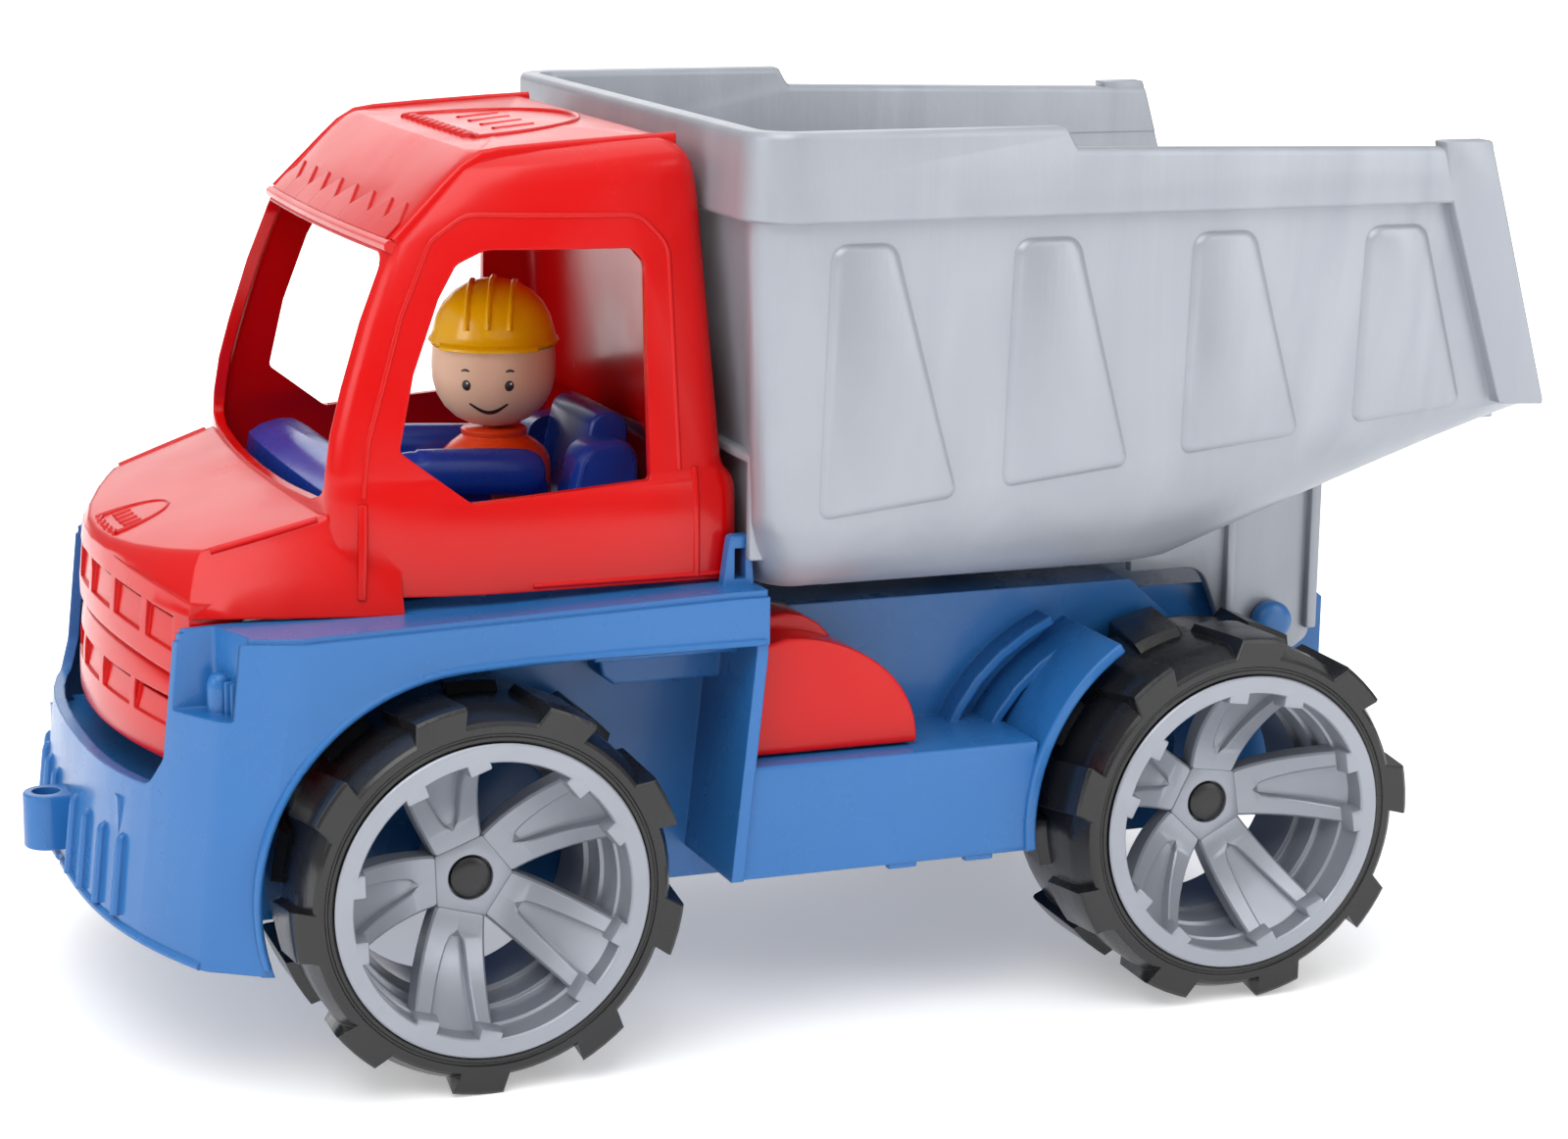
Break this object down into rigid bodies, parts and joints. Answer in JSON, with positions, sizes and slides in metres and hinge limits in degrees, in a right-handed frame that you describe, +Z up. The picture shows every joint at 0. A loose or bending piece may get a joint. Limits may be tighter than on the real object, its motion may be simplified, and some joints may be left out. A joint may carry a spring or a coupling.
{
  "type": "toy tipper truck",
  "caption": "Push-along toy tipper truck with open-window cab, seated driver, tipping load body on rear hinges, and spoked wheels turning on steel axles.",
  "frame": {"origin": "on the ground, under the middle of the whole truck", "axes": "+X towards the front bumper, +Y to the truck's left, +Z up"},
  "size_m": [0.287, 0.153, 0.1728],
  "materials": {
    "blue_plastic": "satin gloss moulded plastic",
    "red_plastic": "glossy moulded plastic",
    "interior_plastic": "satin gloss moulded plastic",
    "silver_plastic": "silver pigmented plastic with faint flow marks",
    "rim_plastic": "silver pigmented plastic",
    "black_plastic": "glossy black plastic",
    "axle_steel": "drawn steel rod",
    "torso_plastic": "moulded plastic",
    "head_plastic": "smooth moulded plastic",
    "helmet_plastic": "moulded plastic"
  },
  "bodies": {
    "truck": {"chassis": "blue_plastic", "cab_shell": "red_plastic", "cab_interior": "interior_plastic", "side_tank_left": "red_plastic", "side_tank_right": "red_plastic", "hinge_pin_left": "blue_plastic", "hinge_pin_right": "blue_plastic", "driver_torso": "torso_plastic", "driver_legs": "interior_plastic"},
    "tipping_body": {"dump_bed": "silver_plastic", "bed_subframe": "silver_plastic"},
    "front_wheels": {"front_axle": "axle_steel", "tyre_front_left": "black_plastic", "rim_front_left": "rim_plastic", "hub_cap_front_left": "black_plastic", "tyre_front_right": "black_plastic", "rim_front_right": "rim_plastic", "hub_cap_front_right": "black_plastic"},
    "rear_wheels": {"rear_axle": "axle_steel", "tyre_rear_left": "black_plastic", "rim_rear_left": "rim_plastic", "hub_cap_rear_left": "black_plastic", "tyre_rear_right": "black_plastic", "rim_rear_right": "rim_plastic", "hub_cap_rear_right": "black_plastic"},
    "driver_head_group": {"driver_head": "head_plastic", "driver_helmet": "helmet_plastic"},
    "driver_arm_left_group": {"driver_arm_left": "interior_plastic"},
    "driver_arm_right_group": {"driver_arm_right": "interior_plastic"}
  },
  "joints": [
    {"name": "bed_tip", "type": "hinge", "parent": "truck", "child": "tipping_body", "pos_m": [-0.1055, 0, 0.06706], "axis": [0, -1, 0], "range_deg": [0, 48]},
    {"name": "front_axle_roll", "type": "hinge", "parent": "truck", "child": "front_wheels", "pos_m": [0.0714, 0, 0.03666], "axis": [0, 1, 0], "continuous": true},
    {"name": "rear_axle_roll", "type": "hinge", "parent": "truck", "child": "rear_wheels", "pos_m": [-0.0808, 0, 0.03666], "axis": [0, 1, 0], "continuous": true},
    {"name": "driver_head_turn", "type": "hinge", "parent": "truck", "child": "driver_head_group", "pos_m": [0.0487, 0.001, 0.11376], "axis": [0, 0, 1], "range_deg": [-70, 70]},
    {"name": "driver_arm_left_swing", "type": "hinge", "parent": "truck", "child": "driver_arm_left_group", "pos_m": [0.0481, 0.0154, 0.10266], "axis": [0, -1, 0], "range_deg": [-22, 55]},
    {"name": "driver_arm_right_swing", "type": "hinge", "parent": "truck", "child": "driver_arm_right_group", "pos_m": [0.0481, -0.0134, 0.10266], "axis": [0, -1, 0], "range_deg": [-22, 55]}
  ]
}
